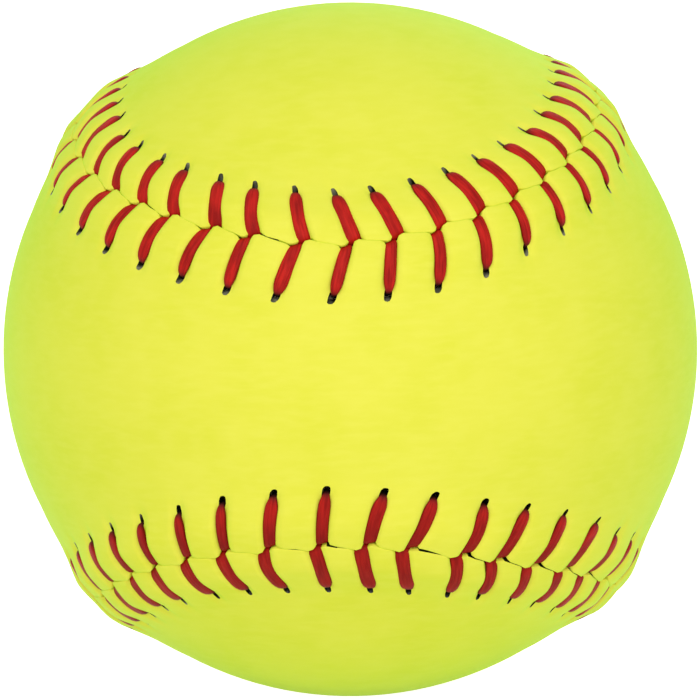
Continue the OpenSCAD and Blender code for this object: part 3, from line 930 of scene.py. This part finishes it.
@dataclass
class SewingThread:
    """One of the two waxed threads.

    It is a flat tube that takes every stitch in turn, and passes under the leather from each kink to the next
    hole. Lengths are in mm.
    """

    seam: RaisedSeam
    first: Side  # The panel that its first stitch lies on
    name: str
    replaces: str
    hole_x: float = 6.62  # From the seam line to where it comes out of a hole
    lie: float = 0.29  # Height of its middle over the leather
    half_t: float = 0.36  # Half its thickness there
    round_: int = 14  # Sides of its cross-section
    flatness: float = 0.62  # Power that squares its cross-section across
    fullness: float = 0.75  # Power that squares it in height
    kink_x: float = 1.6  # From the seam line to where it lies along the slope of the kink
    weld: float = 0.002  # Distance below which the two edges of the tube are joined

    # Out of the hole: distance towards the seam, height over the leather, share of the half width, half
    # thickness, and darkening near the hole, partly wax staining and partly painted shade of the hole
    RISE: ClassVar = (
        (-0.10, -1.7, 0.46, 0.26, 1.0), (-0.15, -1.1, 0.48, 0.27, 1.0), (-0.14, -0.5, 0.50, 0.28, 1.0),
        (-0.06, -0.12, 0.54, 0.29, 0.9), (0.10, 0.10, 0.62, 0.31, 0.5), (0.35, 0.21, 0.74, 0.33, 0.15),
        (0.75, 0.27, 0.88, 0.35, 0.0), (1.3, 0.29, 0.97, 0.36, 0.0))
    # Over the leather: share of the way from the hole to the seam
    OVER: ClassVar = (0.2, 0.36, 0.52, 0.68, 0.84)
    # Into the seam: distance from the seam line, height over the smooth leather, share of the half width, half
    # thickness
    DIVE: ClassVar = (
        (1.2, 1.17, 1.0, 0.36), (0.8, 1.14, 1.02, 0.35), (0.5, 1.02, 1.05, 0.34), (0.31, 0.76, 1.07, 0.33),
        (0.22, 0.35, 1.05, 0.32), (0.19, -0.25, 0.9, 0.31), (0.1, -0.9, 0.6, 0.29), (-0.8, -1.25, 0.5, 0.27))
    # Under the leather: share of the way to the next hole
    UNDER: ClassVar = (0.35, 0.7, 0.93)
    # How far painted shade darkens it, along the seam
    SHADE_ALONG: ClassVar[Knots] = ((0, 8, 14, 22, 32, 46, 62, 72), (0.1, 0, 0.15, 0, 0.5, 1, 0.9, 0.2))
    # And its share by the distance from the seam to the front side
    SHADE_U: ClassVar = (-6.5, -4, -1.5, 0, 0.8, 2.5, 4, 6)
    SHADE_K: ClassVar = (1.1, 1.0, 0.8, 0.7, 1.4, 1.1, 0.8, 0.3)

    def arm(self, j: int) -> np.ndarray:
        """Lays one stitch.

        Args:
            j: Number of the stitch along this thread.

        Returns:
            For each section: s, distance from the seam to the front side, h, half width, half thickness and
            the share of wax staining and painted shade of the hole.
        """
        seam = self.seam
        side = self.first if j % 2 == 0 else Side(-self.first.value)
        k = -j
        i = k % seam.chart.stitches
        start = self.hole_x + seam.shift[side][i]
        half_w = seam.HALF_W[side] * seam.girth[side][i]
        line = side.value * float(seam.line(seam.arm_s(side, np.array(k), np.array(0.0))))

        def surface(x: np.ndarray) -> np.ndarray:
            """Height of the leather under the stitch."""
            return seam.height(side, x, 0 * x, x - line - seam.notch)

        rise = np.array(self.RISE)
        dive = np.array(self.DIVE)
        x_rise = start - rise[:, 0]
        x_over = x_rise[-1] + (dive[0, 0] + line - x_rise[-1]) * np.array(self.OVER)
        x_dive = dive[:, 0] + line
        x = np.concatenate([x_rise, x_over, x_dive])
        h = np.concatenate([surface(x_rise) + rise[:, 1], surface(x_over) + self.lie, dive[:, 1]])
        a = np.concatenate([rise[:, 2], np.ones(len(x_over)), dive[:, 2]]) * half_w
        b = np.concatenate([rise[:, 3], np.full(len(x_over), self.half_t), dive[:, 3]])
        stain_and_shade = np.concatenate([rise[:, 4], 0 * x_over, 0 * x_dive])
        s = seam.arm_s(side, np.full(len(x), k), np.maximum(x, 0))
        return np.stack([s, side.value * x, h, a, b, stain_and_shade], axis=-1)

    def sections(self) -> np.ndarray:
        """All sections of the thread, with the runs under the leather put in between the stitches."""
        arms = [self.arm(j) for j in range(self.seam.chart.stitches)]
        share = np.array(self.UNDER)[:, None]
        rows = arms[:1]
        for here, after in zip(arms, arms[1:]):
            under = here[-1] + (after[0] - here[-1]) * share
            under[:, 5] = 0
            rows += [under, after]
        return np.concatenate(rows)

    def build(self) -> Object:
        """Builds the thread.

        Returns:
            The thread's object, dressed.
        """
        chart = self.seam.chart
        rows = self.sections()
        centre = self.seam.place(Side.FRONT, rows[:, 0], rows[:, 1], rows[:, 2]) / MM
        way = np.gradient(centre, axis=0)
        way /= np.linalg.norm(way, axis=1, keepdims=True)
        _, along, across = chart.axes(rows[:, 0])
        slope = np.where(np.abs(rows[:, 1]) < self.kink_x, self.seam.cut, 0.0)
        wide = along + slope[:, None] * across
        wide -= np.sum(wide * way, axis=1, keepdims=True) * way
        wide /= np.linalg.norm(wide, axis=1, keepdims=True)
        thick = np.cross(way, wide)
        length = np.concatenate([[0], np.cumsum(np.linalg.norm(np.diff(centre, axis=0), axis=1))])

        bm = bmesh.new()
        stain_and_shade_layer = bm.verts.layers.float.new("hole_stain_and_shade")
        shade_layer = bm.verts.layers.float.new("painted_shade")
        lay = bm.loops.layers.uv.new("lay")
        count = len(rows) - 1
        verts = bmesh.ops.create_grid(bm, x_segments=count, y_segments=self.round_, size=0.5,
                                      calc_uvs=True)["verts"]
        i, m = grid_indices(verts, count, self.round_)
        turn = 2 * math.pi * m / self.round_
        flat = np.sign(np.cos(turn)) * np.abs(np.cos(turn)) ** self.flatness
        high = np.sign(np.sin(turn)) * np.abs(np.sin(turn)) ** self.fullness
        points = centre[i] + (rows[i, 3] * flat)[:, None] * wide[i] + (rows[i, 4] * high)[:, None] * thick[i]
        # Painted shade along the seam, weighted by the distance from the seam
        shade_share = self.seam.along(self.SHADE_ALONG, rows[:, 0]) * np.interp(rows[:, 1], self.SHADE_U, self.SHADE_K)
        for v, p, q, r in zip(verts, points * MM, rows[i, 5], shade_share[i]):
            v.co, v[stain_and_shade_layer], v[shade_layer] = p, q, r

        # Its coordinates are in mm, along the thread and round it
        for face in bm.faces:
            for loop in face.loops:
                at = loop[lay].uv
                at.x = float(np.interp(at.x * count, np.arange(count + 1), length))
                at.y *= WaxedThread.turn_mm
        bmesh.ops.remove_doubles(bm, verts=bm.verts[:], dist=self.weld * MM)
        bmesh.ops.holes_fill(bm, edges=[e for e in bm.edges if e.is_boundary], sides=self.round_)
        bmesh.ops.recalc_face_normals(bm, faces=bm.faces[:])
        piece = finish_mesh(bm, self.name, [WaxedThread()])
        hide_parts(self.replaces)
        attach(piece, BODY)
        return piece


@dataclass
class BallInside:
    """The core and its cement coat, whose nodes are carried over from the frame and dressed."""

    core_node: str = "core"
    cement_node: str = "cement_coat"

    def build(self) -> list[Object]:
        """Gives both nodes their finishes, and returns them."""
        pieces = [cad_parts[self.core_node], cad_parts[self.cement_node]]
        for piece, finish in zip(pieces, (MouldedFoam(), DriedCement())):
            piece.data.materials.clear()
            piece.data.materials.append(finish.material())
        return pieces


@dataclass
class Studio:
    """Floor, soft lights and the camera of the photograph. Lengths are in metres."""

    floor_z: float = -0.0481
    toward: tuple[float, float, float] = (0.07756, -0.98867, 0.12850)
    up: tuple[float, float, float] = (0.02617, 0.13087, 0.99105)
    distance: float = 0.768
    focal_mm: float = 285.0
    aside: tuple[float, float] = (-0.00042, -0.00114)
    room_level: float = 0.54

    def lay_floor(self) -> None:
        """Lays a wide sheet of paper under the ball."""
        bm = bmesh.new()
        bmesh.ops.create_grid(bm, x_segments=1, y_segments=1, size=6.0)
        bmesh.ops.translate(bm, verts=bm.verts[:], vec=(0, 0, self.floor_z))
        finish_mesh(bm, "floor", [StudioPaper()])

    def hang_lights(self) -> None:
        """Hangs four soft boxes, and makes the room white."""
        self.soft_box("front_box", (-0.28, -1.2, 1.0), 1.2, 8.0)
        self.soft_box("side_box", (0.9, -0.9, 0.55), 1.0, 2.6)
        self.soft_box("low_box", (0.1, -1.25, 0.16), 0.35, 1.0)
        self.soft_box("back_box", (0.25, 1.25, 0.8), 1.2, 3.2)
        world = bpy.data.worlds.new("white_room")
        bpy.context.scene.world = world
        world.use_nodes = True
        tree = world.node_tree
        tree.nodes.clear()
        level = ramp(tree, seen_directly(tree), target=(self.room_level, 1.0))
        room = add_node(tree, "Background", {"Color": (1, 1, 1, 1), "Strength": level})
        add_node(tree, "OutputWorld", {"Surface": room.outputs[0]})

    def soft_box(self, name: str, at: tuple[float, float, float], size: float, power: float) -> None:
        """Hangs one square soft box that faces the ball.

        Args:
            name: Its name.
            at: Its place.
            size: Its side.
            power: Its power in watts.
        """
        lamp = bpy.data.lights.new(name, "AREA")
        lamp.size, lamp.energy = size, power
        box = bpy.data.objects.new(name, lamp)
        box.location = at
        box.rotation_euler = (-Vector(at)).to_track_quat("-Z", "Y").to_euler()
        bpy.context.scene.collection.objects.link(box)

    def set_camera(self) -> None:
        """Stands the camera where the photograph was taken."""
        data = bpy.data.cameras.new("camera")
        data.lens, data.sensor_width = self.focal_mm, 36.0
        data.shift_x, data.shift_y = self.aside
        data.clip_start, data.clip_end = 0.05, 20.0
        back = Vector(self.toward).normalized()
        right = Vector(self.up).cross(back).normalized()
        above = back.cross(right)
        camera = bpy.data.objects.new("camera", data)
        turn = Matrix((right, above, back)).transposed().to_4x4()
        camera.matrix_world = Matrix.Translation(back * self.distance) @ turn
        bpy.context.scene.collection.objects.link(camera)
        bpy.context.scene.camera = camera


def report(piece: Object) -> None:
    """Logs one finished piece with its number of triangles."""
    count = sum(len(p.vertices) - 2 for p in piece.data.polygons)
    log.info("%s: %d triangles", piece.name, count)


def main() -> None:
    """Builds the ball and the studio, in order."""
    logging.basicConfig(level=logging.INFO, format="%(name)s: %(message)s")
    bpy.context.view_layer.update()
    seam = RaisedSeam(SeamChart())
    for piece in BallInside().build():
        report(piece)
    for side, name in ((Side.FRONT, "cover_front"), (Side.BACK, "cover_back")):
        report(CoverPanel(seam, side, name + "_leather", name).build())
    for first, name in ((Side.FRONT, "thread_first"), (Side.BACK, "thread_second")):
        report(SewingThread(seam, first, name + "_waxed", name).build())
    studio = Studio()
    studio.lay_floor()
    studio.hang_lights()
    studio.set_camera()
    bpy.context.scene.view_settings.view_transform = "Standard"


if __name__ == "__main__":
    main()
